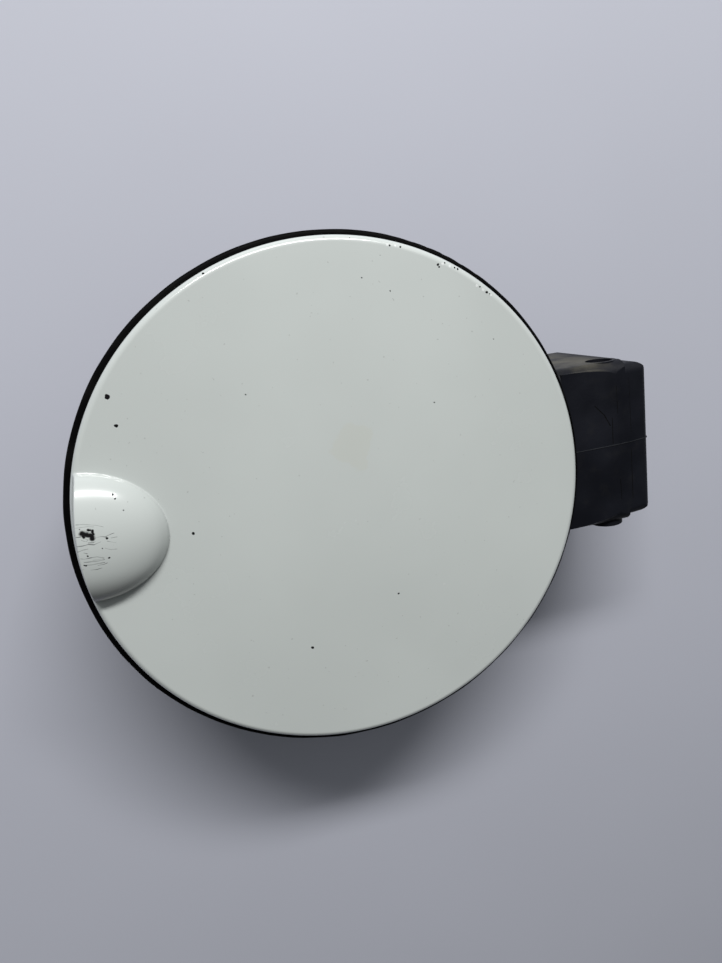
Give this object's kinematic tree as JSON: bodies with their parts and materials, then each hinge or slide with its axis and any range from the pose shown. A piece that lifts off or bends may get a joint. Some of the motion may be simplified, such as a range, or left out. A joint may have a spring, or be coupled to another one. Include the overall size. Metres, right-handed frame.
{
  "type": "fuel filler flap unit",
  "caption": "Round white painted fuel filler flap with a raised finger hood, on a swan-neck hinge in a black moulded filler bowl with a rubber rim and neck gasket.",
  "frame": {"origin": "centre of the neck bore in the bowl's base plane", "axes": "+X from the flap's centre to the hinge, +Y along the hinge pin, +Z along the flap's outward normal"},
  "size_m": [0.1838, 0.1548, 0.0688],
  "materials": {
    "bowl_plastic": "black moulded plastic with a dull grain",
    "rim_rubber": "black rubber strip",
    "neck_rubber": "black rubber",
    "pin_steel": "drawn steel",
    "spring_steel": "blued spring steel",
    "buffer_rubber": "black rubber",
    "clip_steel": "plated spring steel",
    "flap_paint": "white gloss paint over black plastic, with chips and scratches",
    "carrier_plastic": "black moulded plastic",
    "screw_steel": "plated steel"
  },
  "bodies": {
    "bowl": {"filler_bowl": "bowl_plastic", "rim_seal": "rim_rubber", "neck_gasket": "neck_rubber", "hinge_pin": "pin_steel", "detent_spring": "spring_steel", "stop_buffers": "buffer_rubber", "retaining_clips": "clip_steel"},
    "flap": {"flap_skin": "flap_paint", "hinge_carrier": "carrier_plastic", "carrier_screws": "screw_steel"}
  },
  "joints": [
    {"name": "flap_hinge", "type": "hinge", "parent": "bowl", "child": "flap", "pos_m": [0.0925, 0, 0.0454], "axis": [0, 1, 0], "range_deg": [0, 95], "deforming": ["detent_spring"]}
  ]
}
